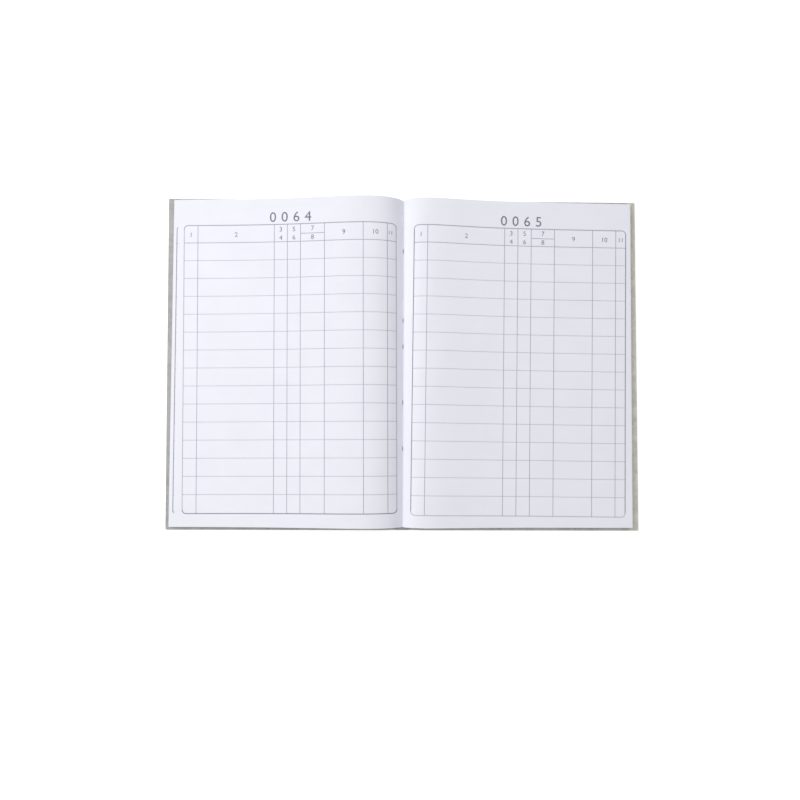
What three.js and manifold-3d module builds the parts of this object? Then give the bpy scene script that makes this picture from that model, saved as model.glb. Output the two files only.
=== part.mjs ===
// A hard-bound ruled log book lying open at the middle of its sewn text block.
// Millimetres, +Z up. X runs across the spread, Y from tail to head.
// The origin is on the table, under the middle of the spine.

import * as THREE from 'three';
import { mergeVertices } from 'three/addons/utils/BufferGeometryUtils.js';
import Module from 'manifold-3d';

const wasm = await Module();
wasm.setup();

// Case: boards, spine inlay and the cloth that wraps them
const coverHalfWidth = 216;
const coverHeight = 303.4;
const clothThickness = 0.4;
const boardThickness = 2.5;
const inlayThickness = 1.5;
const inlayHalfWidth = 6;
const jointGroove = 8.3;
const turnIn = 15;
const cornerRadius = 1.6;
const pocketClearance = 0.3;
const clothSplit = 0.3;

// Cover hinge line, in the cloth beside the spine inlay
const hingeX = 7;

// Text block
const pageWidth = 209.2;
const pageHeight = 297;
const pastedownThickness = 0.12;
const leafThickness = 0.12;
const flyleafGap = 0.13;
const sectionThickness = 0.4;
const sectionGap = 0.2;
const leafGap = 0.2;
const sectionsEachSide = 5;
const flatSections = 3;
const foldStart = 0.8;
const foldStep = 1.6;

// Sewn back of the middle section, its lining and its stitches
const liningThickness = 0.3;
const liningHalfWidth = 4.6;
const foldHalfWidth = 0.35;
const foldGap = 0.15;
const foldTop = 5.4;
const foldCrease = 0.4;
const threadThickness = 0.5;
const threadLift = 0.05;
const stitchLength = 8;
const stitchesFromHead = [45, 109, 133, 184, 226];

// How each half of the open block lies: arch over the back, dip into the gutter
const frontArch = { height: 12, reach: 36 };
const backArch = { height: 8, reach: 24 };
const gutterDip = 1.8;
const gutterDipReach = 4;
const foreEdgeFan = 0.5;
const topLeafPullIn = 4;
const curveSteps = 26;
const cornerSteps = 5;
const threadSides = 8;

// How far a cut runs past the face that it opens
const cutPast = 1;

// Heights that follow from the values above
const boardTop = clothThickness + boardThickness;
const caseTop = boardTop + clothThickness;
const inlayTop = clothThickness + inlayThickness;
const boardStart = inlayHalfWidth + jointGroove;
const pastedownTop = caseTop + pastedownThickness;
const flyleafTop = pastedownTop + flyleafGap + leafThickness;
const sectionPitch = sectionThickness + sectionGap;
const firstSection = flyleafTop + leafGap + sectionThickness / 2;
const lastSection = firstSection + (sectionsEachSide - 1) * sectionPitch;
const underLeafLevel = lastSection + sectionThickness / 2 + leafGap + leafThickness / 2;
const topLeafLevel = underLeafLevel + leafThickness + leafGap;

const finishes = {
  cloth: new THREE.MeshStandardMaterial({ color: 0xa6a59f, roughness: 0.85, metalness: 0 }),
  greyboard: new THREE.MeshStandardMaterial({ color: 0x8f8a80, roughness: 0.95, metalness: 0 }),
  page: new THREE.MeshStandardMaterial({ color: 0xeeeef6, roughness: 0.9, metalness: 0 }),
  endpaper: new THREE.MeshStandardMaterial({ color: 0xe6e4de, roughness: 0.9, metalness: 0 }),
  lining: new THREE.MeshStandardMaterial({ color: 0xb79f78, roughness: 0.95, metalness: 0 }),
  thread: new THREE.MeshStandardMaterial({ color: 0xd9d6d0, roughness: 0.8, metalness: 0 }),
};

const logBook = new THREE.Group();

// Add one named piece
function addPiece(name, geometry, finish) {
  const piece = new THREE.Mesh(geometry, finish);
  piece.name = name;
  logBook.add(piece);
}

// Box between two corners
function block(x0, x1, y0, y1, z0, z1) {
  const box = new THREE.BoxGeometry(Math.abs(x1 - x0), y1 - y0, z1 - z0);
  box.translate((x0 + x1) / 2, (y0 + y1) / 2, (z0 + z1) / 2);
  return box;
}

// Solid for cutting and joining
function solid(geometry) {
  const bare = geometry.clone();
  bare.deleteAttribute('normal');
  bare.deleteAttribute('uv');
  const merged = mergeVertices(bare);
  return new wasm.Manifold(new wasm.Mesh({
    numProp: 3,
    vertProperties: new Float32Array(merged.attributes.position.array),
    triVerts: new Uint32Array(merged.index.array),
  }));
}

// Cut or joined solid back as a geometry
function shell(made) {
  const mesh = made.getMesh();
  const geometry = new THREE.BufferGeometry();
  geometry.setAttribute('position', new THREE.BufferAttribute(mesh.vertProperties, 3));
  geometry.setIndex(new THREE.BufferAttribute(mesh.triVerts, 1));
  geometry.computeVertexNormals();
  return geometry;
}

// Profile in X and Z, drawn out along Y about the middle
function drawnOut(points, length) {
  const outline = new THREE.Shape(points);
  const geometry = new THREE.ExtrudeGeometry(outline, { depth: length, bevelEnabled: false });
  geometry.rotateX(Math.PI / 2);
  geometry.translate(0, length / 2, 0);
  return geometry;
}

// Height of a sheet at a distance from the gutter
function layHeight(distance, level, arch, share) {
  const swell = (distance / arch.reach) * Math.exp(1 - distance / arch.reach);
  const dip = Math.exp(-distance / gutterDipReach);
  return level + share * (arch.height * swell - gutterDip * dip);
}

// Sheet or section between two lay curves, from the gutter to its fore-edge
function laidSheet(side, arch, below, above, start, end) {
  const upper = [];
  const lower = [];
  for (let step = 0; step <= curveSteps; step += 1) {
    const distance = start + (end - start) * (step / curveSteps) ** 2;
    upper.push(new THREE.Vector2(side * distance, layHeight(distance, above.level, arch, above.share)));
    lower.push(new THREE.Vector2(side * distance, layHeight(distance, below.level, arch, below.share)));
  }
  return drawnOut([...lower, ...upper.reverse()], pageHeight);
}

// One leaf of even thickness that follows the whole arch
function laidLeaf(side, arch, level, end) {
  const below = { level: level - leafThickness / 2, share: 1 };
  const above = { level: level + leafThickness / 2, share: 1 };
  return laidSheet(side, arch, below, above, foldStart, end);
}

// Slab from a straight inner edge to an outer edge with rounded corners
function roundedSlab(side, inner, outer, half, low, high) {
  const outline = new THREE.Shape();
  outline.moveTo(inner, -half);
  outline.absarc(outer - cornerRadius, cornerRadius - half, cornerRadius, -Math.PI / 2, 0, false);
  outline.absarc(outer - cornerRadius, half - cornerRadius, cornerRadius, 0, Math.PI / 2, false);
  outline.lineTo(inner, half);
  const slab = new THREE.ExtrudeGeometry(outline, {
    depth: high - low, bevelEnabled: false, curveSegments: cornerSteps,
  });
  slab.translate(0, 0, low);
  return side < 0 ? slab.rotateZ(Math.PI) : slab;
}

// Room for the board inside its cloth, from a given place near the joint
function boardPocket(side, inner) {
  const end = coverHalfWidth - clothThickness;
  return solid(roundedSlab(side, inner, end, coverHeight / 2 - clothThickness, clothThickness, boardTop));
}

// Cloth over one board, turned in at head, tail and fore-edge, with its half of the joint
function coverCloth(side) {
  const half = coverHeight / 2;
  const hinge = side * (hingeX + clothSplit);
  const fold = hinge + side * clothSplit;
  const lap = side * (boardStart + cutPast);
  const wrap = solid(roundedSlab(side, boardStart, coverHalfWidth, half, 0, caseTop));
  const window = solid(block(
    side * (boardStart - cutPast), side * (coverHalfWidth - turnIn),
    turnIn - half, half - turnIn, boardTop - cutPast, caseTop + cutPast,
  ));
  const joint = solid(block(hinge, lap, -half, half, 0, clothThickness));
  const doubled = clothThickness * 2;
  const head = solid(block(fold, lap, half - turnIn, half, 0, doubled));
  const tail = solid(block(fold, lap, -half, turnIn - half, 0, doubled));
  const doubledEnds = head.add(tail).subtract(boardPocket(side, boardStart));
  const opened = wrap.subtract(boardPocket(side, boardStart - cutPast)).subtract(window);
  return shell(opened.add(joint).add(doubledEnds));
}

// Board, cloth and pastedown of one cover
function addCover(prefix, side) {
  const half = coverHeight / 2 - clothThickness - pocketClearance;
  const outer = coverHalfWidth - clothThickness - pocketClearance;
  const inner = boardStart + pocketClearance;
  addPiece(`${prefix}_cover_cloth`, coverCloth(side), finishes.cloth);
  addPiece(`${prefix}_board`, roundedSlab(side, inner, outer, half, clothThickness, boardTop), finishes.greyboard);
  const pasted = block(
    side * boardStart, side * pageWidth, -pageHeight / 2, pageHeight / 2, caseTop, pastedownTop,
  );
  addPiece(`${prefix}_pastedown`, pasted, finishes.endpaper);
}

// Flyleaf, sections and loose top leaves of one half of the text block
function addHalfBlock(prefix, side, arch, pullIn) {
  const flyStart = foldStart + sectionsEachSide * foldStep;
  const flyleaf = block(
    side * flyStart, side * pageWidth, -pageHeight / 2, pageHeight / 2,
    pastedownTop + flyleafGap, flyleafTop,
  );
  addPiece(`${prefix}_flyleaf`, flyleaf, finishes.endpaper);
  for (let count = 0; count < sectionsEachSide; count += 1) {
    const level = firstSection + count * sectionPitch;
    const arched = sectionsEachSide - flatSections;
    const below = {
      level: level - sectionThickness / 2, share: Math.max(0, count - flatSections) / arched,
    };
    const above = {
      level: level + sectionThickness / 2, share: Math.max(0, count - flatSections + 1) / arched,
    };
    const start = foldStart + (sectionsEachSide - 1 - count) * foldStep;
    const end = pageWidth - above.share * foreEdgeFan;
    const section = laidSheet(side, arch, below, above, start, end);
    addPiece(`${prefix}_section_${count + 1}`, section, finishes.page);
  }
  const underLeaf = laidLeaf(side, arch, underLeafLevel, pageWidth);
  const topLeaf = laidLeaf(side, arch, topLeafLevel, pageWidth - pullIn);
  addPiece(`${prefix}_under_leaf`, underLeaf, finishes.page);
  addPiece(`${prefix}_top_leaf`, topLeaf, finishes.page);
}

// Cloth along the spine, turned in over the inlay at head and tail
function spineCloth() {
  const half = coverHeight / 2;
  const edge = hingeX - clothSplit;
  const top = inlayTop + clothThickness;
  const sheet = solid(block(-edge, edge, -half, half, 0, clothThickness));
  const wrap = solid(block(-inlayHalfWidth, inlayHalfWidth, -half, half, 0, top));
  const pocketHalf = half - clothThickness;
  const open = inlayHalfWidth + cutPast;
  const pocket = solid(block(-open, open, -pocketHalf, pocketHalf, clothThickness, inlayTop));
  const window = solid(block(
    -open, open, turnIn - half, half - turnIn, inlayTop - cutPast, top + cutPast,
  ));
  return shell(wrap.subtract(pocket).subtract(window).add(sheet));
}

// Spine: inlay, lining, sewn fold of the middle section and its stitches
function addSpine() {
  const inlayHalf = coverHeight / 2 - clothThickness - pocketClearance;
  const liningHalf = coverHeight / 2 - turnIn - pocketClearance;
  const liningTop = inlayTop + liningThickness;
  const foldBottom = inlayTop + clothThickness + foldGap;
  addPiece('spine_cloth', spineCloth(), finishes.cloth);
  addPiece('spine_inlay', block(
    -inlayHalfWidth, inlayHalfWidth, -inlayHalf, inlayHalf, clothThickness, inlayTop,
  ), finishes.greyboard);
  addPiece('spine_lining', block(
    -liningHalfWidth, liningHalfWidth, -liningHalf, liningHalf, inlayTop, liningTop,
  ), finishes.lining);
  const creased = [
    new THREE.Vector2(-foldHalfWidth, foldBottom),
    new THREE.Vector2(foldHalfWidth, foldBottom),
    new THREE.Vector2(foldHalfWidth, foldTop),
    new THREE.Vector2(0, foldTop - foldCrease),
    new THREE.Vector2(-foldHalfWidth, foldTop),
  ];
  addPiece('middle_section_fold', drawnOut(creased, pageHeight), finishes.page);
  stitchesFromHead.forEach((fromHead, index) => {
    const place = pageHeight / 2 - fromHead;
    const radius = threadThickness / 2;
    const thread = new THREE.CylinderGeometry(radius, radius, stitchLength, threadSides);
    thread.translate(0, place, foldTop + radius + threadLift);
    addPiece(`stitch_${index + 1}`, thread, finishes.thread);
  });
}

addSpine();
addCover('front', -1);
addCover('back', 1);
addHalfBlock('front', -1, frontArch, topLeafPullIn);
addHalfBlock('back', 1, backArch, foreEdgeFan);

export default logBook;
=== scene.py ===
"""Looks of a hard-bound, ruled log book that lies open at the middle of its sewn text block."""

import logging
import math
from dataclasses import dataclass, field, replace
from enum import Enum
from functools import partial
from itertools import accumulate

import bmesh
import bpy
from bpy.types import Material, Node, NodeSocket, NodeTree, Object
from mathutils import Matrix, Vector


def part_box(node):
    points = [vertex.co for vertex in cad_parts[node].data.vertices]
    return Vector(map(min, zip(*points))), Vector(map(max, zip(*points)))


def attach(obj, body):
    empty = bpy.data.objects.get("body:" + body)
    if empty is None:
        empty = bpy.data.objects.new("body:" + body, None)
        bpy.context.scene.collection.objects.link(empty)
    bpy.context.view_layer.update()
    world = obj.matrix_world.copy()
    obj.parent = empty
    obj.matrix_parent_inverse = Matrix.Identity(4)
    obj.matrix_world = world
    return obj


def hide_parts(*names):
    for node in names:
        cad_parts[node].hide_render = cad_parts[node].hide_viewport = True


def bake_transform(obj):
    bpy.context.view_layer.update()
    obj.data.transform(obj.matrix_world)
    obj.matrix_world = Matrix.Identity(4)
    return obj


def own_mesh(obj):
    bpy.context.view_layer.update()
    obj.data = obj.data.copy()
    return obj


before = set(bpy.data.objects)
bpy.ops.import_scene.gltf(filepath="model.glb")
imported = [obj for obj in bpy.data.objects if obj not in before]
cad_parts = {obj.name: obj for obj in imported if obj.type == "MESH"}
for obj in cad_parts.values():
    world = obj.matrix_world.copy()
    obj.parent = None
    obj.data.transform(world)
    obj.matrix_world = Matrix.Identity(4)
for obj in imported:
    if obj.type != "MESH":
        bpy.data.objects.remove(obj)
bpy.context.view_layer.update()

MM = 0.001
WAVE_BANDS = 20  # bands in 2 pi units of the wave texture
log = logging.getLogger("log_book")


class Side(Enum):
    """Half of the open book, with the sign of X on which it lies."""

    FRONT = -1
    BACK = 1

    @property
    def prefix(self) -> str:
        """Return the word that this half's pieces start with."""
        return self.name.lower()


@dataclass(frozen=True)
class Arch:
    """How a half of the open text block rises beside the gutter, waves and is cut, in metres."""

    height: float
    reach: float
    phase: float
    dip: float = 1.8 * MM
    dip_reach: float = 4 * MM
    wave_height: float = 0.12 * MM
    wave_start: float = 50 * MM
    wave_across: float = 61 * MM
    wave_along: float = 47 * MM
    head_cut: float = 2 * MM
    head_cut_reach: float = 209 * MM

    def rise(self, distance: float, share: float) -> float:
        """Return the height above the flat level of a sheet.

        Args:
            distance: how far from the gutter, in metres.
            share: how much of the arch the sheet follows, from 0 to 1.

        Returns:
            The rise in metres.
        """
        swell = distance / self.reach * math.exp(1 - distance / self.reach)
        return share * (self.height * swell - self.dip * math.exp(-distance / self.dip_reach))

    def wave(self, distance: float, along: float) -> float:
        """Return the slow unevenness that all sheets of this half share.

        Args:
            distance: how far from the gutter, in metres.
            along: place between tail and head, in metres.

        Returns:
            The height of the unevenness, in metres.
        """
        swing = math.sin(along / self.wave_along + self.phase)
        swing *= math.sin(distance / self.wave_across + self.phase)
        return min(1.0, distance / self.wave_start) * self.wave_height * swing

    def cut(self, share: float, height: float, distance: float) -> float:
        """Return where a point of a leaf lies along the spine, on a block cut a little out of square.

        Args:
            share: the point's place on the leaf, from -0.5 at the tail to 0.5 at the head.
            height: the leaf's height at the fore-edge, in metres.
            distance: how far from the gutter, in metres.

        Returns:
            The place between tail and head, in metres.
        """
        return share * height + max(0.0, 2 * share) * self.head_cut * (1 - distance / self.head_cut_reach)


ARCHES = {
    Side.FRONT: Arch(12 * MM, 36 * MM, phase=0.6),
    Side.BACK: Arch(8 * MM, 24 * MM, phase=2.1),
}


def linear(colour: str) -> tuple[float, float, float, float]:
    """Turn an sRGB hex colour to linear values.

    Args:
        colour: the colour as six hex digits.

    Returns:
        Red, green, blue and alpha.
    """
    parts = [int(colour[place:place + 2], 16) / 255 for place in (0, 2, 4)]
    return (*(part / 12.92 if part <= 0.04045 else ((part + 0.055) / 1.055) ** 2.4 for part in parts), 1.0)


def connect(node: Node, inputs: dict) -> None:
    """Set some of a node's inputs.

    Args:
        node: the node.
        inputs: what each input gets, a socket or a plain value, by name or number.
    """
    for name, value in inputs.items():
        if isinstance(value, NodeSocket):
            node.id_data.links.new(value, node.inputs[name])
        else:
            node.inputs[name].default_value = value


def add_node(tree: NodeTree, kind: str, inputs: dict | None = None, **settings: str) -> Node:
    """Add one shader node.

    Args:
        tree: the node tree.
        kind: the node's type name.
        inputs: what its inputs get, as in connect.
        settings: the node's own properties, by name.

    Returns:
        The new node.
    """
    node = tree.nodes.new(kind)
    for name, value in settings.items():
        setattr(node, name, value)
    connect(node, inputs or {})
    return node


def compute(tree: NodeTree, operation: str, first: NodeSocket | float,
            second: NodeSocket | float = 0.0) -> NodeSocket:
    """Add one sum.

    Args:
        tree: the node tree.
        operation: what is worked out, as the node names it.
        first: the first value.
        second: the second value.

    Returns:
        The result.
    """
    return add_node(tree, "ShaderNodeMath", {0: first, 1: second}, operation=operation).outputs[0]


def tint(tree: NodeTree, share: NodeSocket | float, first: NodeSocket | tuple,
         second: NodeSocket | tuple, blend_type: str = "MIX") -> NodeSocket:
    """Mix two colours.

    Args:
        tree: the node tree.
        share: how much of the second colour is laid on.
        first: the first colour.
        second: the second colour.
        blend_type: how the second colour is laid on, as the node names it.

    Returns:
        The mixed colour.
    """
    return add_node(tree, "ShaderNodeMix", {"Factor": share, 6: first, 7: second},
                    data_type="RGBA", blend_type=blend_type).outputs[2]


def grain(tree: NodeTree, patch_mm: float, detail: float, roughness: float = 0.5) -> NodeSocket:
    """Add random mottling that is fixed to the piece.

    Args:
        tree: the node tree.
        patch_mm: the size of its patches, in millimetres.
        detail: how many finer layers it has.
        roughness: how strong the finer layers are.

    Returns:
        The mottling.
    """
    place = add_node(tree, "ShaderNodeTexCoord")
    return add_node(tree, "ShaderNodeTexNoise", {
        "Vector": place.outputs["Object"], "Scale": 1 / (patch_mm * MM), "Detail": detail,
        "Roughness": roughness}).outputs["Fac"]


def ridges(tree: NodeTree, direction: str, pitch_mm: float, distortion: float = 0.0) -> NodeSocket:
    """Add even ridges that are fixed to the piece.

    Args:
        tree: the node tree.
        direction: the way across the ridges, as the node names it.
        pitch_mm: how far apart they are, in millimetres.
        distortion: how uneven they are.

    Returns:
        The ridges.
    """
    place = add_node(tree, "ShaderNodeTexCoord")
    return add_node(tree, "ShaderNodeTexWave", {
        "Vector": place.outputs["Object"], "Scale": math.tau / (WAVE_BANDS * pitch_mm * MM),
        "Distortion": distortion, "Detail": 1.0}, bands_direction=direction).outputs["Fac"]


def relief(tree: NodeTree, pattern: NodeSocket, strength: float, depth_mm: float) -> NodeSocket:
    """Let a pattern stand out from the surface.

    Args:
        tree: the node tree.
        pattern: the pattern.
        strength: how strongly it shows, from 0 to 1.
        depth_mm: its depth, in millimetres.

    Returns:
        The surface's new normal.
    """
    return add_node(tree, "ShaderNodeBump", {
        "Height": pattern, "Strength": strength, "Distance": depth_mm * MM}).outputs["Normal"]


def new_material(name: str) -> tuple[Material, NodeTree, Node]:
    """Make a material that holds a bare principled shader.

    Args:
        name: the finish's name.

    Returns:
        The material, its node tree and its shader.
    """
    material = bpy.data.materials.new(name)
    material.use_nodes = True
    tree = material.node_tree
    return material, tree, tree.nodes["Principled BSDF"]


@dataclass(frozen=True)
class Ruling:
    """Printed table of one page, in millimetres on the sheet: origin at the page's middle, X to the right."""

    left: float
    top: float
    turn: float
    widths: tuple[float, ...] = (12.5, 69.9, 12.0, 12.0, 21.9, 35.0, 21.6, 8.0)
    header: float = 16.0
    header_gap: float = 1.0
    rows: int = 15
    row_pitch: float = 16.32
    last_row: float = 17.0
    corner: float = 3.6
    line: float = 0.6
    border_line: float = 0.8
    rule_ink: float = 0.8
    row_ink: float = 0.65
    side_ink: float = 0.53
    top_ink: float = 0.72
    foot_ink: float = 0.94
    title_share: float = 0.504
    title_rise: float = 6.3
    title_size: float = 13.0
    letter_space: float = 1.65
    digit_size: float = 6.0
    digit_fit: float = 0.6
    header_split: float = 0.55
    split_column: int = 4
    soft_edge: float = 0.06
    # columns with two headings: how far down the header each stands
    header_rows: dict = field(default_factory=lambda: {2: (0.3, 0.78), 3: (0.3, 0.78), 4: (0.28, 0.78)})
    # keeps the last column's number off the line on which the leaf bends
    nudges: dict = field(default_factory=lambda: {(Side.FRONT, 7): -1.1})

    @property
    def width(self) -> float:
        """Return the table's width."""
        return sum(self.widths)

    @property
    def height(self) -> float:
        """Return the table's height."""
        return self.header + (self.rows - 1) * self.row_pitch + self.last_row

    @property
    def edges(self) -> list[float]:
        """Return where the inner upright rules stand, from the table's left edge."""
        return list(accumulate(self.widths[:-1]))


@dataclass(frozen=True)
class LedgerPaper:
    """Uncoated ledger paper, calendered smooth: faint cloudy fibre, matt, printed with thin grey rules."""

    name: str = "ledger_paper"
    colour: str = "F1F1FA"
    cloud: str = "EAEAF3"
    ink: str = "8C8C9C"
    border_ink: str = "777786"
    roughness: float = 0.78
    fibre_mm: float = 0.9
    cloud_mm: float = 24.0

    def build(self, ruling: Ruling | None = None, suffix: str = "") -> Material:
        """Make the paper, with its print where it has a table.

        Args:
            ruling: the page's printed table, or none on a bare sheet.
            suffix: what tells this page's material from the others.

        Returns:
            The material.
        """
        material, tree, shader = new_material(self.name + suffix)
        clouds = grain(tree, self.cloud_mm, detail=3.0)
        colour = tint(tree, clouds, linear(self.colour), linear(self.cloud))
        if ruling is not None:
            colour = self._print(tree, colour, ruling)
        fibre = grain(tree, self.fibre_mm, detail=5.0)
        connect(shader, {
            "Base Color": colour, "Roughness": self.roughness, "Specular IOR Level": 0.3,
            "Normal": relief(tree, fibre, strength=0.12, depth_mm=0.05)})
        return material

    def _print(self, tree: NodeTree, colour: NodeSocket, ruling: Ruling) -> NodeSocket:
        """Print the table over the paper's colour.

        Args:
            tree: the material's node tree.
            colour: the bare paper's colour.
            ruling: the table.

        Returns:
            The printed colour.
        """
        sheet = add_node(tree, "ShaderNodeUVMap", uv_map="Sheet")
        turned = add_node(tree, "ShaderNodeMapping", {
            "Vector": sheet.outputs["UV"], "Location": (ruling.left * MM, ruling.top * MM, 0),
            "Rotation": (0, 0, math.radians(ruling.turn)), "Scale": (MM, -MM, 1)}, vector_type="TEXTURE")
        split = add_node(tree, "ShaderNodeSeparateXYZ", {0: turned.outputs[0]})
        across, down = split.outputs["X"], split.outputs["Y"]
        maths = partial(compute, tree)
        past = partial(compute, tree, "GREATER_THAN")

        def stripe(value: NodeSocket, middle: float, width: float) -> NodeSocket:
            """Return 1 within a rule of this width, which fades out softly at each side."""
            away = maths("ABSOLUTE", maths("SUBTRACT", value, middle))
            soft = add_node(tree, "ShaderNodeMapRange", {
                "Value": away, "From Min": width / 2 - ruling.soft_edge,
                "From Max": width / 2 + ruling.soft_edge, "To Min": 1.0, "To Max": 0.0},
                interpolation_type="SMOOTHSTEP")
            return soft.outputs[0]

        half_w, half_h = ruling.width / 2, ruling.height / 2
        off_x = maths("ABSOLUTE", maths("SUBTRACT", across, half_w))
        off_y = maths("ABSOLUTE", maths("SUBTRACT", down, half_h))
        side_x = maths("SUBTRACT", off_x, half_w - ruling.corner)
        side_y = maths("SUBTRACT", off_y, half_h - ruling.corner)
        out_x, out_y = maths("MAXIMUM", side_x, 0.0), maths("MAXIMUM", side_y, 0.0)
        reach = maths("SQRT", maths("ADD", maths("MULTIPLY", out_x, out_x), maths("MULTIPLY", out_y, out_y)))
        inner = maths("MINIMUM", maths("MAXIMUM", side_x, side_y), 0.0)
        distance = maths("SUBTRACT", maths("ADD", reach, inner), ruling.corner)
        border = stripe(distance, 0.0, ruling.border_line)
        inside = maths("LESS_THAN", distance, 0.0)

        rules = stripe(down, ruling.header, ruling.line)
        for edge in ruling.edges:
            rules = maths("MAXIMUM", rules, stripe(across, edge, ruling.line))
        rows = maths("SUBTRACT", down, ruling.header - ruling.row_pitch / 2)
        within = maths("SUBTRACT", maths("MODULO", rows, ruling.row_pitch), ruling.row_pitch / 2)
        below_header = past(down, ruling.header + ruling.header_gap)
        above_last = maths("LESS_THAN", down, ruling.header + (ruling.rows - 0.5) * ruling.row_pitch)
        in_rows = maths("MULTIPLY", below_header, above_last)
        lines = maths("MULTIPLY", stripe(within, 0.0, ruling.line), in_rows)
        rules = maths("MAXIMUM", rules, maths("MULTIPLY", lines, ruling.row_ink))
        split_left, split_right = ruling.edges[ruling.split_column - 1:ruling.split_column + 1]
        split_low = maths("MULTIPLY", past(across, split_left), maths("LESS_THAN", across, split_right))
        half_header = stripe(down, ruling.header * ruling.header_split, ruling.line)
        rules = maths("MAXIMUM", rules, maths("MULTIPLY", half_header, split_low))
        rules = maths("MULTIPLY", rules, inside)
        ruled = tint(tree, maths("MULTIPLY", rules, ruling.rule_ink), colour, linear(self.ink))
        end_ink = maths("ADD", maths("MULTIPLY", past(down, half_h), ruling.foot_ink - ruling.top_ink),
                        ruling.top_ink - ruling.side_ink)
        strength = maths("ADD", maths("MULTIPLY", past(side_y, 0.0), end_ink), ruling.side_ink)
        return tint(tree, maths("MULTIPLY", border, strength), ruled, linear(self.border_ink))


@dataclass(frozen=True)
class PrintingInk:
    """Dull grey printing ink, soaked into uncoated paper: thin, matt and a little uneven."""

    name: str = "printing_ink"
    colour: str = "62626E"
    thin: str = "7C7C88"
    roughness: float = 0.8
    mottle_mm: float = 0.6

    def build(self) -> Material:
        """Make the ink.

        Returns:
            The material.
        """
        material, tree, shader = new_material(self.name)
        mottle = grain(tree, self.mottle_mm, detail=2.0)
        connect(shader, {
            "Base Color": tint(tree, mottle, linear(self.colour), linear(self.thin)),
            "Roughness": self.roughness})
        return material


@dataclass(frozen=True)
class BookCloth:
    """Plain-woven cotton book cloth, starch-filled: dull grey, finely woven, tinted inside the fore-edge as
    painted light.
    """

    name: str = "book_cloth"
    colour: str = "C5C5C4"
    worn: str = "D1D1D0"
    dark: str = "B5B5B4"
    thread_mm: float = 0.5
    weave_share: float = 0.22
    mottle_mm: float = 6.0
    roughness: float = 0.86
    # where the painted light inside the fore-edge fades in, from the spine
    handled_from_mm: float = 206.0
    handled_to_mm: float = 209.0
    inside_from_mm: float = 0.4
    inside_to_mm: float = 1.6

    def build(self, suffix: str = "", handled: tuple[float, float, float] = (1.0, 1.0, 1.0)) -> Material:
        """Make the cloth.

        Args:
            suffix: what tells this cover's cloth from the others.
            handled: the tint laid inside the fore-edge, for red, green and blue, where 1 is the paleness of
                the rest; above 1 it is painted light over the shade that the text block casts there, below 1
                the cloth is only darker.

        Returns:
            The material.
        """
        material, tree, shader = new_material(self.name + suffix)
        mottle = grain(tree, self.mottle_mm, detail=4.0, roughness=0.6)
        ramp = add_node(tree, "ShaderNodeValToRGB", {"Fac": mottle})
        for element, (spot, colour) in zip(ramp.color_ramp.elements, ((0.3, self.dark), (0.72, self.worn))):
            element.position = spot
            element.color = linear(colour)
        ramp.color_ramp.elements.new(0.5).color = linear(self.colour)
        warp, weft = (ridges(tree, way, self.thread_mm, distortion=0.6) for way in ("X", "Y"))
        weave = compute(tree, "MULTIPLY", warp, weft)
        shade = tint(tree, self.weave_share, ramp.outputs["Color"], weave, "MULTIPLY")
        place = add_node(tree, "ShaderNodeTexCoord")
        split = add_node(tree, "ShaderNodeSeparateXYZ", {0: place.outputs["Object"]})
        # painted light: the inner face near the fore-edge is tinted in place of the light that the text block
        # shades off
        at_edge = add_node(tree, "ShaderNodeMapRange", {
            "Value": compute(tree, "ABSOLUTE", split.outputs["X"]),
            "From Min": self.handled_from_mm * MM, "From Max": self.handled_to_mm * MM},
            interpolation_type="SMOOTHSTEP")
        inside = add_node(tree, "ShaderNodeMapRange", {
            "Value": split.outputs["Z"], "From Min": self.inside_from_mm * MM,
            "From Max": self.inside_to_mm * MM}, interpolation_type="SMOOTHSTEP")
        # mask of the painted light: near the fore-edge and above the cover's outer face
        edge_light_mask = compute(tree, "MULTIPLY", at_edge.outputs[0], inside.outputs[0])
        connect(shader, {
            "Base Color": tint(tree, edge_light_mask, shade, (*handled, 1.0), "MULTIPLY"),
            "Roughness": self.roughness, "Sheen Weight": 0.15,
            "Normal": relief(tree, weave, strength=0.5, depth_mm=0.12)})
        return material


@dataclass(frozen=True)
class PulpBoard:
    """Pressed paper pulp, such as greyboard, endpaper or kraft lining: specks in a dull ground."""

    name: str
    colour: str
    speck: str
    speck_mm: float
    roughness: float = 0.92

    def build(self) -> Material:
        """Make the board or paper.

        Returns:
            The material.
        """
        material, tree, shader = new_material(self.name)
        specks = grain(tree, self.speck_mm, detail=6.0)
        connect(shader, {
            "Base Color": tint(tree, specks, linear(self.colour), linear(self.speck)),
            "Roughness": self.roughness, "Normal": relief(tree, specks, strength=0.3, depth_mm=0.1)})
        return material


@dataclass(frozen=True)
class LinenThread:
    """Twisted linen sewing thread, waxed: pale, with the twist as slanting ridges."""

    name: str = "sewing_thread"
    colour: str = "B4B2BC"
    shade: str = "9A98A4"
    roughness: float = 0.7
    twist_mm: float = 0.5

    def build(self) -> Material:
        """Make the thread.

        Returns:
            The material.
        """
        material, tree, shader = new_material(self.name)
        twist = ridges(tree, "DIAGONAL", self.twist_mm)
        connect(shader, {
            "Base Color": tint(tree, twist, linear(self.shade), linear(self.colour)),
            "Roughness": self.roughness, "Normal": relief(tree, twist, strength=0.6, depth_mm=0.1)})
        return material


def dress(piece: Object, material: Material) -> None:
    """Give a piece one material all over.

    Args:
        piece: the object.
        material: its finish.
    """
    piece.data.materials.clear()
    piece.data.materials.append(material)


def settle(piece: Object) -> None:
    """Apply a piece's place, so that its object sits at the origin.

    Args:
        piece: the object.
    """
    piece.data.transform(piece.matrix_world)
    piece.matrix_world.identity()


def deselect() -> None:
    """Deselect everything."""
    bpy.ops.object.select_all(action="DESELECT")


def only(piece: Object) -> None:
    """Select one piece and nothing else.

    Args:
        piece: the object.
    """
    deselect()
    piece.select_set(True)
    bpy.context.view_layer.objects.active = piece


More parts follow.
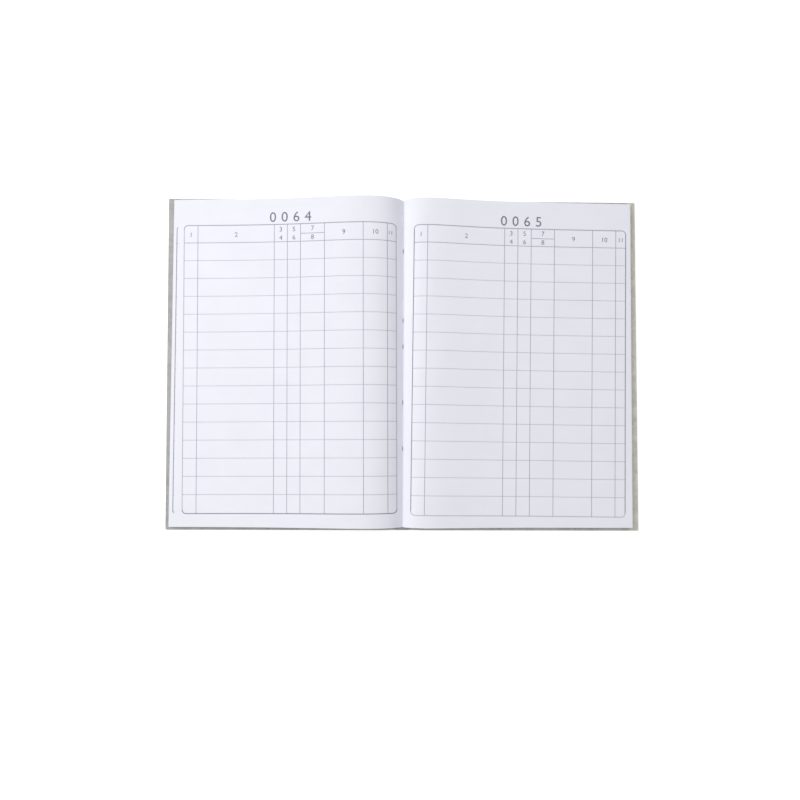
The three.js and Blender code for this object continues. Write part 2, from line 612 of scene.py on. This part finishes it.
def smooth(piece: Object, degrees: float) -> None:
    """Shade a piece smooth, but not over its sharper edges.

    Args:
        piece: the object.
        degrees: the angle from which an edge counts as sharp.
    """
    only(piece)
    bpy.ops.object.shade_smooth_by_angle(angle=math.radians(degrees))


def apply_modifier(piece: Object, kind: str, **settings: float | str) -> None:
    """Add one modifier and apply it.

    Args:
        piece: the object.
        kind: the modifier's type name.
        settings: its properties, by name.
    """
    modifier = piece.modifiers.new(kind.lower(), kind)
    for name, value in settings.items():
        setattr(modifier, name, value)
    only(piece)
    bpy.ops.object.modifier_apply(modifier=modifier.name)


@dataclass(frozen=True)
class Leaf:
    """One sheet of paper as it lies, in metres."""

    side: Side
    level: float
    share: float
    start: float
    end: float
    thickness: float
    steps: int
    rows: int
    skew: float = 0.0
    skew_start: float = 20 * MM


def lay_leaf(leaf: Leaf, height: float, name: str) -> Object:
    """Model one leaf from a flat grid, bent over the arch and given its thickness.

    Args:
        leaf: how the leaf lies.
        height: the page's height from tail to head, in metres.
        name: the piece's name.

    Returns:
        The leaf, with a map named Sheet that holds metres on the flat page.
    """
    deselect()
    bpy.ops.mesh.primitive_grid_add(x_subdivisions=leaf.steps, y_subdivisions=leaf.rows, size=1)
    piece = bpy.context.object
    piece.name = name
    mesh = piece.data
    arch = ARCHES[leaf.side]
    flat = {}
    for vertex in mesh.vertices:
        along = (vertex.co.x + 0.5) ** 2
        distance = leaf.start + (leaf.end - leaf.start) * along
        across = arch.cut(vertex.co.y, height, distance)
        distance += leaf.skew * across * min(1.0, distance / leaf.skew_start)
        flat[vertex.index] = (leaf.side.value * distance, across)
        rise = arch.rise(distance, leaf.share) + arch.wave(distance, across) * leaf.share
        vertex.co = Vector((leaf.side.value * distance, across, leaf.level + rise))
    if leaf.side is Side.FRONT:
        mesh.flip_normals()
    sheet = mesh.uv_layers[0]
    sheet.name = "Sheet"
    for loop in mesh.loops:
        sheet.data[loop.index].uv = flat[loop.vertex_index]
    apply_modifier(piece, "SOLIDIFY", thickness=leaf.thickness, offset=0.0)
    smooth(piece, 40)
    return piece


def join(pieces: list[Object], name: str) -> Object:
    """Join meshes into one piece.

    Args:
        pieces: the objects.
        name: the joined piece's name.

    Returns:
        The joined piece.
    """
    deselect()
    for piece in pieces:
        piece.select_set(True)
    bpy.context.view_layer.objects.active = pieces[0]
    bpy.ops.object.join()
    joined = bpy.context.object
    joined.name = name
    return joined


@dataclass
class Case:
    """The cloth-covered case: two boards, the joints and the spine, in metres."""

    turn_in: float = 15 * MM
    edge_round: float = 0.9 * MM
    ease_share: float = 0.4
    cloth: float = 0.4 * MM
    strip: float = 0.36 * MM
    groove: float = 0.28 * MM
    hinge_lap: float = 0.8 * MM
    drawn_in: dict = field(default_factory=lambda: {Side.FRONT: (0.0, 1.4 * MM), Side.BACK: (1.2 * MM, 0.0)})

    def cover(self, side: Side, material: Material) -> Object:
        """Model one cover's cloth, wrapped over its board and turned in on three sides.

        Args:
            side: which cover.
            material: the book cloth.

        Returns:
            The piece.
        """
        node = f"{side.prefix}_cover_cloth"
        low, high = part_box(node)
        board_low, board_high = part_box(f"{side.prefix}_board")
        hinge, outer = sorted((low.x, high.x), key=abs)
        board_inner = min(board_low.x, board_high.x, key=abs)
        wrap = self._slab(
            Vector((outer, low.y, low.z)), Vector((board_inner, high.y, high.z)), node + "_wrap")
        self._sink_window(wrap, side, board_high.z)
        joint = self._slab(
            Vector((board_inner + side.value * self.cloth, low.y, low.z)),
            Vector((hinge, high.y, low.z + 2 * self.cloth)), node + "_joint")
        self._press_groove(joint)
        piece = join([wrap, joint], f"{side.prefix}_cover_bookcloth")
        self._draw_in(piece, side)
        dress(piece, material)
        smooth(piece, 35)
        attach(piece, f"{side.prefix}_cover")
        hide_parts(node)
        return piece

    def board(self, side: Side, material: Material) -> Object:
        """Model one cover's board, cut to the same lines as its cloth.

        Args:
            side: which cover.
            material: the greyboard.

        Returns:
            The piece.
        """
        node = f"{side.prefix}_board"
        low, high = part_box(node)
        piece = self._slab(low, high, node + "_sheet")
        self._draw_in(piece, side)
        dress(piece, material)
        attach(piece, f"{side.prefix}_cover")
        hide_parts(node)
        return piece

    def _draw_in(self, piece: Object, side: Side) -> None:
        """Draw a cover's fore-edge in by a millimetre or so at one end, as the book's own case is cut.

        Args:
            piece: the cloth or the board.
            side: which cover.
        """
        low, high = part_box(f"{side.prefix}_cover_cloth")
        near, far = sorted((abs(low.x), abs(high.x)))
        head, tail = self.drawn_in[side]
        for vertex in piece.data.vertices:
            along = (vertex.co.y - low.y) / (high.y - low.y)
            share = (abs(vertex.co.x) - near) / (far - near)
            vertex.co.x -= side.value * share * (tail + (head - tail) * along)

    def _slab(self, low: Vector, high: Vector, name: str) -> Object:
        """Model a slab with rounded corners and eased edges.

        Args:
            low: a corner of its underside.
            high: the opposite corner of its top.
            name: the piece's name.

        Returns:
            The slab.
        """
        deselect()
        bpy.ops.mesh.primitive_cube_add(size=1, location=(low + high) / 2)
        slab = bpy.context.object
        slab.name = name
        slab.scale = [abs(length) for length in high - low]
        bpy.ops.object.transform_apply(location=True, rotation=False, scale=True)
        ease = min(self.edge_round, (high.z - low.z) * self.ease_share)
        apply_modifier(slab, "BEVEL", width=ease, segments=4, limit_method="ANGLE")
        return slab

    def _sink_window(self, wrap: Object, side: Side, floor: float) -> None:
        """Sink the part of the inside that the turned-in cloth leaves bare.

        Args:
            wrap: the cover's slab.
            side: which cover; not used.
            floor: the board's top.
        """
        only(wrap)
        bpy.ops.object.mode_set(mode="EDIT")
        mesh = bmesh.from_edit_mesh(wrap.data)
        top = max(mesh.faces, key=lambda face: face.calc_area() if face.normal.z > 0.9 else 0)
        for face in mesh.faces:
            face.select_set(face is top)
        bmesh.update_edit_mesh(wrap.data)
        bpy.ops.mesh.inset(thickness=self.turn_in, depth=0)
        bpy.ops.mesh.inset(thickness=self.cloth, depth=floor - top.calc_center_median().z)
        bpy.ops.object.mode_set(mode="OBJECT")

    def _press_groove(self, joint: Object) -> None:
        """Press the joint's cloth into the shallow valley beside the board.

        Args:
            joint: the joint's slab.
        """
        apply_modifier(joint, "SUBSURF", subdivision_type="SIMPLE", levels=3)
        xs = [vertex.co.x for vertex in joint.data.vertices]
        middle, half = (min(xs) + max(xs)) / 2, (max(xs) - min(xs)) / 2
        for vertex in joint.data.vertices:
            if vertex.co.z > self.cloth:
                fall = 1 - ((vertex.co.x - middle) / half) ** 2
                vertex.co.z -= max(0.0, fall) * self.groove

    def hinge_strip(self, side: Side, material: Material) -> Object:
        """Model the cloth that lies over one hinge line, from the spine's cloth to the cover's.

        Args:
            side: which cover.
            material: the book cloth.

        Returns:
            The piece.
        """
        node = f"{side.prefix}_cover_cloth"
        low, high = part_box(node)
        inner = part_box("spine_cloth")[1].x
        outer = min(abs(low.x), abs(high.x))
        level = low.z + self.cloth / 2
        deselect()
        bpy.ops.mesh.primitive_grid_add(
            x_subdivisions=24, y_subdivisions=2, size=1,
            location=(side.value * (inner + outer) / 2, (low.y + high.y) / 2, level))
        strip = bpy.context.object
        strip.name = f"{side.prefix}_hinge_bookcloth"
        strip.scale = (outer - inner + 2 * self.hinge_lap, high.y - low.y - self.cloth / 2, 1)
        bpy.ops.object.transform_apply(location=True, rotation=False, scale=True)
        apply_modifier(strip, "SOLIDIFY", thickness=self.strip, offset=0.0)
        dress(strip, material)
        smooth(strip, 50)
        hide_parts(node)
        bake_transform(strip)
        return strip

    def spine(self, material: Material) -> Object:
        """Model the cloth along the spine, wrapped over the ends of its inlay.

        Args:
            material: the book cloth.

        Returns:
            The piece.
        """
        low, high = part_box("spine_cloth")
        inlay_low, inlay_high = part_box("spine_inlay")
        sheet = self._slab(low, Vector((high.x, high.y, low.z + self.cloth)), "spine_sheet")
        ends = []
        for name, start, stop in (
                ("head", high.y - self.turn_in, high.y), ("tail", low.y, low.y + self.turn_in)):
            ends.append(self._slab(
                Vector((inlay_low.x - self.cloth / 4, start, low.z + self.cloth / 2)),
                Vector((inlay_high.x + self.cloth / 4, stop, high.z)), f"spine_{name}"))
        piece = join([sheet, *ends], "spine_bookcloth")
        dress(piece, material)
        smooth(piece, 35)
        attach(piece, "spine")
        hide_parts("spine_cloth")
        return piece


@dataclass
class TextBlock:
    """The sewn leaves of one half of the book, in metres."""

    side: Side
    height: float = 297 * MM
    leaves_in_section: int = 6
    flat_sections: int = 3
    sections: int = 5
    fan: float = 0.54 * MM
    paper_share: float = 0.8
    trim_step: float = 0.2 * MM
    rim: float = 0.3 * MM
    bend: float = 10 * MM
    flat_share: float = 0.03
    section_shares: dict = field(default_factory=lambda: {4: 0.08, 5: 0.05})
    closed_ceiling: float = 7.13 * MM
    loose_thickness: float = 0.1 * MM
    ink_thickness: float = 0.02 * MM

    @property
    def hinge(self) -> str:
        """Return the name of the joint that closes this half."""
        return f"{self.side.prefix}_cover_hinge"

    def reach(self, node: str) -> tuple[float, float]:
        """Return how near to and far from the gutter a CAD node lies.

        Args:
            node: the node's name.

        Returns:
            The near and the far distance, in metres.
        """
        near, far = sorted(abs(corner.x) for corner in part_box(node))
        return near, far

    def flatten(self, piece: Object) -> None:
        """Give an arched piece a mesh of its own.

        Args:
            piece: the piece.
        """
        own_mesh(piece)

    def flat_level(self, node: str) -> tuple[float, float]:
        """Return the lower and upper height of a node at its fore-edge.

        Args:
            node: the node's name.

        Returns:
            The two heights, in metres.
        """
        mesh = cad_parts[node].data
        far = max(abs(vertex.co.x) for vertex in mesh.vertices)
        heights = [vertex.co.z for vertex in mesh.vertices if abs(vertex.co.x) > far - self.rim]
        return min(heights), max(heights)

    def section(self, number: int, material: Material) -> Object:
        """Model one section as its separate leaves, fanned at the fore-edge.

        Args:
            number: the section's number, from the board up.
            material: the paper.

        Returns:
            The piece.
        """
        node = f"{self.side.prefix}_section_{number}"
        near, far = self.reach(node)
        low, high = self.flat_level(node)
        arched = self.sections - self.flat_sections
        below = max(0, number - 1 - self.flat_sections) / arched
        above = max(0, number - self.flat_sections) / arched
        arch = ARCHES[self.side]
        low -= arch.rise(far, below)
        high -= arch.rise(far, above)
        leaves = []
        for count in range(self.leaves_in_section):
            place = (count + 0.5) / self.leaves_in_section
            slip = self.fan * (0.5 + 0.5 * math.sin(number * 2.3 + count * 1.7))
            leaves.append(lay_leaf(Leaf(
                self.side, low + (high - low) * place, below + (above - below) * place,
                near, far - slip, (high - low) / self.leaves_in_section * self.paper_share,
                steps=44, rows=3), self.height - self.trim_step * (count % 3), f"{node}_{count}"))
        piece = join(leaves, node + "_leaves")
        dress(piece, material)
        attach(piece, f"{self.side.prefix}_block")
        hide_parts(node)
        if above > 0:
            self.flatten(piece)
        return piece

    def level(self, node: str) -> float:
        """Return the height that one of the two upper leaves would lie at with no arch below it.

        Args:
            node: the leaf's CAD node.

        Returns:
            The height, in metres.
        """
        far = self.reach(node)[1]
        low, high = self.flat_level(node)
        return (low + high) / 2 - ARCHES[self.side].rise(far, 1)

    def finish_leaf(self, piece: Object, node: str, body: str) -> Object:
        """Hang one upper leaf, or what is printed on it, on the body that carries it, and give it a mesh of
        its own.

        Args:
            piece: the leaf, a stretch of it or its print.
            node: the CAD node that it stands for.
            body: the body that carries it.

        Returns:
            The piece.
        """
        level = self.level(node)
        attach(piece, body)
        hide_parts(node)
        self.flatten(piece)
        return piece

    def under_leaf(self, material: Material, reach: float, skew: float) -> Object:
        """Model the leaf below the top one.

        Args:
            material: its printed paper.
            reach: how much further it reaches than its node, in metres.
            skew: how much further it reaches for each metre towards the head.

        Returns:
            The piece.
        """
        node = f"{self.side.prefix}_under_leaf"
        near, far = self.reach(node)
        piece = lay_leaf(Leaf(
            self.side, self.level(node), 1.0, near, far + reach, self.loose_thickness,
            skew=skew, steps=90, rows=30), self.height, node + "_sheet")
        dress(piece, material)
        return self.finish_leaf(piece, node, f"{self.side.prefix}_block")

    def top_leaf(self, material: Material) -> list[Object]:
        """Model the leaf that turns: its root stays on the block and the rest bends over beside it.

        Args:
            material: its printed paper.

        Returns:
            The root and the turning leaf.
        """
        node = f"{self.side.prefix}_top_leaf"
        near, far = self.reach(node)
        made = []
        for name, body, start, end, steps in (
                ("root", "block", near, self.bend, 16), ("sheet", "leaf", self.bend, far, 84)):
            piece = lay_leaf(Leaf(
                self.side, self.level(node), 1.0, start, end, self.loose_thickness,
                steps=steps, rows=30), self.height, f"{node}_{name}")
            dress(piece, material)
            made.append(self.finish_leaf(piece, node, f"{self.side.prefix}_{body}"))
        return made

    def numerals(self, ruling: Ruling, page: str, ink: Material) -> Object:
        """Print the page's number above its table and plain column numbers in the header.

        Args:
            ruling: the page's table.
            page: the page's number.
            ink: the printing ink.

        Returns:
            The piece.
        """
        node = f"{self.side.prefix}_top_leaf"
        middle = ruling.width * ruling.title_share
        places = [(middle, -ruling.title_rise, ruling.title_size, page, ruling.letter_space)]
        left, digit = 0.0, 1
        for column, width in enumerate(ruling.widths):
            across = left + width / 2 + ruling.nudges.get((self.side, column), 0.0)
            size = min(ruling.digit_size, width * ruling.digit_fit)
            for share in ruling.header_rows.get(column, (ruling.header_split,)):
                places.append((across, ruling.header * share, size, str(digit), 1.0))
                digit += 1
            left += width
        glyphs = [self._glyph(ruling, *place) for place in places]
        piece = join(glyphs, f"{self.side.prefix}_page_numerals")
        dress(piece, ink)
        return self.finish_leaf(piece, node, f"{self.side.prefix}_leaf")

    def _glyph(self, ruling: Ruling, across: float, down: float, size: float, digits: str,
               spacing: float) -> Object:
        """Print some digits on the top leaf.

        Args:
            ruling: the page's table.
            across: the middle of the digits, in millimetres from the table's left edge.
            down: the middle of the digits, in millimetres below the table's top edge.
            size: the height of the type, in millimetres.
            digits: the digits.
            spacing: how far apart the digits stand, where 1 is the type's own spacing.

        Returns:
            The digits as a closed mesh of ink that follows the page.
        """
        node = f"{self.side.prefix}_top_leaf"
        turn = math.radians(ruling.turn)
        x = ruling.left + across * math.cos(turn) + down * math.sin(turn)
        y = ruling.top + across * math.sin(turn) - down * math.cos(turn)
        deselect()
        bpy.ops.object.text_add(location=(x * MM, y * MM, 0), rotation=(0, 0, turn))
        text = bpy.context.object.data
        text.body = digits
        text.size = size * MM
        text.align_x = text.align_y = "CENTER"
        text.space_character = spacing
        text.extrude = self.ink_thickness / 2
        text.resolution_u = 3
        bpy.ops.object.convert(target="MESH")
        glyph = bpy.context.object
        settle(glyph)
        arch = ARCHES[self.side]
        lift = self.level(node) + self.loose_thickness / 2 + self.ink_thickness
        for vertex in glyph.data.vertices:
            distance = abs(vertex.co.x)
            vertex.co.z += lift + arch.rise(distance, 1) + arch.wave(distance, vertex.co.y)
        return glyph


@dataclass
class MiddleFold:
    """Half of the middle sheet's fold, from the thread up to the leaf's inner edge, in metres."""

    side: Side
    thickness: float = 0.1 * MM
    valley: float = 5.3 * MM
    steepness: float = 1.5
    steps: int = 8

    def sheet(self, block: TextBlock, material: Material) -> Object:
        """Model this half of the fold as one thin sheet.

        Args:
            block: the leaves on this side.
            material: the paper.

        Returns:
            The piece.
        """
        node = f"{self.side.prefix}_top_leaf"
        edge = block.reach(node)[0]
        arch = ARCHES[self.side]
        rim = block.level(node) + arch.rise(edge, 1)
        deselect()
        bpy.ops.mesh.primitive_grid_add(x_subdivisions=self.steps, y_subdivisions=2, size=1)
        piece = bpy.context.object
        piece.name = f"{self.side.prefix}_half_of_fold"
        for vertex in piece.data.vertices:
            along = vertex.co.x + 0.5
            climb = along ** self.steepness
            vertex.co = Vector((
                self.side.value * edge * along, arch.cut(vertex.co.y, block.height, edge * along),
                self.valley + (rim - self.valley) * climb))
        if self.side is Side.FRONT:
            piece.data.flip_normals()
        apply_modifier(piece, "SOLIDIFY", thickness=self.thickness, offset=0.0)
        smooth(piece, 50)
        dress(piece, material)
        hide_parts("middle_section_fold")
        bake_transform(piece)
        return piece


@dataclass
class Sewing:
    """The stitches in the middle fold, in metres."""

    strand: float = 0.4 * MM
    lay: float = 0.28 * MM
    dip: float = 2.4 * MM
    half_twists: int = 6
    cuts: int = 24
    stitches: int = 5

    def stitch(self, number: int, material: Material) -> Object:
        """Model one stitch as two strands twisted round each other, which sink into the fold at both ends.

        Args:
            number: the stitch's number, from the head.
            material: the thread.

        Returns:
            The piece.
        """
        node = f"stitch_{number}"
        low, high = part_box(node)
        middle, length = (low + high) / 2, high.y - low.y
        strands = []
        for strand in range(2):
            deselect()
            bpy.ops.mesh.primitive_cylinder_add(
                vertices=10, radius=self.strand, depth=length, location=(0, 0, 0),
                rotation=(math.pi / 2, 0, 0))
            cord = bpy.context.object
            settle(cord)
            bpy.ops.object.mode_set(mode="EDIT")
            mesh = bmesh.from_edit_mesh(cord.data)
            long_edges = [edge for edge in mesh.edges if edge.calc_length() > length / 2]
            bmesh.ops.subdivide_edges(mesh, edges=long_edges, cuts=self.cuts, use_grid_fill=True)
            bmesh.update_edit_mesh(cord.data)
            bpy.ops.object.mode_set(mode="OBJECT")
            for vertex in cord.data.vertices:
                along = vertex.co.y / length
                angle = math.pi * (along * self.half_twists + strand)
                vertex.co.x += self.lay * math.cos(angle)
                vertex.co.z += self.lay * math.sin(angle) - self.dip * (2 * along) ** 2
                vertex.co += middle
            strands.append(cord)
        piece = join(strands, f"{node}_thread")
        dress(piece, material)
        smooth(piece, 60)
        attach(piece, "spine")
        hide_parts(node)
        return piece


@dataclass
class Studio:
    """Camera, lamps, floor and backdrop, in metres."""

    camera_place: tuple[float, float, float] = (-10.8 * MM, -77 * MM, 600 * MM)
    camera_turn: tuple[float, float, float] = (1.883, -0.812, 0.23)
    lens_mm: float = 29.41
    shift_up: float = 0.0332
    floor_size: float = 6.0
    floor_colour: str = "EDEDED"
    floor_glow: float = 0.5
    glow_from: float = 0.6
    glow_to: float = 1.3
    sky_strength: float = 0.42

    def camera(self) -> None:
        """Set the camera nearly straight above the spread."""
        data = bpy.data.cameras.new("camera")
        data.lens = self.lens_mm
        data.sensor_width = 36
        data.sensor_fit = "HORIZONTAL"
        data.shift_y = self.shift_up
        data.clip_start = 0.01
        camera = bpy.data.objects.new("camera", data)
        bpy.context.scene.collection.objects.link(camera)
        camera.location = self.camera_place
        camera.rotation_euler = [math.radians(turn) for turn in self.camera_turn]
        bpy.context.scene.camera = camera

    def lamp(self, name: str, place: tuple[float, float, float], size: float, power: float) -> None:
        """Hang one soft square lamp that faces the book.

        Args:
            name: the lamp's name.
            place: where it hangs.
            size: its width.
            power: its power in watts.
        """
        data = bpy.data.lights.new(name, "AREA")
        data.size = size
        data.energy = power
        lamp = bpy.data.objects.new(name, data)
        bpy.context.scene.collection.objects.link(lamp)
        lamp.location = place
        lamp.rotation_euler = (-Vector(place)).to_track_quat("-Z", "Y").to_euler()

    def floor(self) -> None:
        """Lay a plain pale floor that the camera sees as white where no shadow falls."""
        deselect()
        bpy.ops.mesh.primitive_plane_add(size=self.floor_size, location=(0, 0, -0.1 * MM))
        floor = bpy.context.object
        floor.name = "floor"
        material, tree, shader = new_material("pale_floor")
        place = add_node(tree, "ShaderNodeTexCoord")
        away = add_node(tree, "ShaderNodeVectorMath", {0: place.outputs["Object"]}, operation="LENGTH")
        whiter = add_node(tree, "ShaderNodeMapRange", {
            "Value": away.outputs["Value"], "From Min": self.glow_from, "From Max": self.glow_to,
            "To Min": self.floor_glow, "To Max": 1.0})
        connect(shader, {
            "Base Color": linear(self.floor_colour), "Roughness": 0.9, "Specular IOR Level": 0.0,
            "Emission Color": (1, 1, 1, 1),
            "Emission Strength": compute(tree, "MULTIPLY", self._seen_rays(tree), whiter.outputs[0])})
        dress(floor, material)

    def _seen_rays(self, tree: NodeTree) -> NodeSocket:
        """Return a value that is 1 for what the camera, a reflection or clear glass sees.

        Args:
            tree: the node tree that needs it.

        Returns:
            The value's socket.
        """
        rays = add_node(tree, "ShaderNodeLightPath")
        direct = compute(tree, "MAXIMUM", rays.outputs["Is Camera Ray"], rays.outputs["Is Glossy Ray"])
        return compute(tree, "MAXIMUM", direct, rays.outputs["Is Transmission Ray"])

    def sky(self) -> None:
        """Fill the world with even pale light, and white behind everything."""
        world = bpy.data.worlds.new("studio")
        bpy.context.scene.world = world
        world.use_nodes = True
        tree = world.node_tree
        strength = add_node(tree, "ShaderNodeMapRange", {
            "Value": self._seen_rays(tree), "To Min": self.sky_strength, "To Max": 1.0})
        connect(tree.nodes["Background"], {"Color": (1, 1, 1, 1), "Strength": strength.outputs[0]})


def main() -> None:
    """Build the studio and the book, piece by piece."""
    logging.basicConfig(level=logging.INFO)
    bpy.context.scene.view_settings.view_transform = "Standard"
    studio = Studio()
    studio.camera()
    studio.floor()
    studio.sky()
    studio.lamp("window", (-0.9, 0.35, 0.9), size=0.7, power=9.0)
    studio.lamp("ceiling", (0.1, -0.1, 1.4), size=1.2, power=5.0)

    cloth = BookCloth()
    # each cover's cloth gets its own fore-edge tint: the back's is painted light over the text block's
    # shadow, the front's is a little darker
    cover_cloths = {
        Side.FRONT: cloth.build("_front", handled=(0.88, 0.88, 0.86)),
        Side.BACK: cloth.build("_back", handled=(1.4, 1.35, 1.22)),
    }
    paper = LedgerPaper()
    bare_paper = paper.build()
    greyboard = PulpBoard("greyboard", "8F8A80", "7A756B", 0.8).build()
    endpaper = PulpBoard("endpaper", "E6E4DE", "DCD9D1", 1.5).build()
    lining = PulpBoard("kraft_lining", "B79F78", "A48C66", 1.0).build()
    thread = LinenThread().build()

    case = Case()
    made = []
    for side in Side:
        made += [case.cover(side, cover_cloths[side]), case.board(side, greyboard)]
        for part in ("pastedown", "flyleaf"):
            dress(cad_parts[f"{side.prefix}_{part}"], endpaper)
    spine_cloth = cloth.build()
    made.append(case.spine(spine_cloth))
    made += [case.hinge_strip(side, spine_cloth) for side in Side]
    dress(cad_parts["spine_inlay"], greyboard)
    dress(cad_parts["spine_lining"], lining)

    rulings = {
        Side.FRONT: Ruling(left=-199.75, top=124.85, turn=0.4),
        Side.BACK: Ruling(
            left=9.85, top=125.45, turn=-0.55, row_pitch=16.35, last_row=17.6,
            side_ink=0.88, top_ink=0.74, foot_ink=0.52,
            widths=(12.05, 70.8, 12.3, 12.3, 21.5, 35.3, 21.35, 9.2)),
    }
    under_rulings = {
        Side.FRONT: replace(rulings[Side.FRONT], left=-206.4, top=124.45, turn=0.0, side_ink=0.8),
        Side.BACK: replace(rulings[Side.BACK], left=9.65, top=125.05),
    }
    page_numbers = {Side.FRONT: "0064", Side.BACK: "0065"}
    ink = PrintingInk().build()
    for side in Side:
        block = TextBlock(side)
        made += [block.section(number, bare_paper) for number in range(1, block.sections + 1)]
        table = rulings[side]
        printed = paper.build(table, f"_{side.prefix}_page")
        beneath = paper.build(under_rulings[side], f"_{side.prefix}_under_page")
        reach, skew = (0.5 * MM, -0.0026) if side is Side.FRONT else (0.0, 0.0)
        made += [
            block.under_leaf(beneath, reach, skew), *block.top_leaf(printed),
            block.numerals(table, page_numbers[side], ink), MiddleFold(side).sheet(block, bare_paper)]

    sewing = Sewing()
    made += [sewing.stitch(number, thread) for number in range(1, sewing.stitches + 1)]
    log.info("made %s", ", ".join(piece.name for piece in made))


if __name__ == "__main__":
    main()
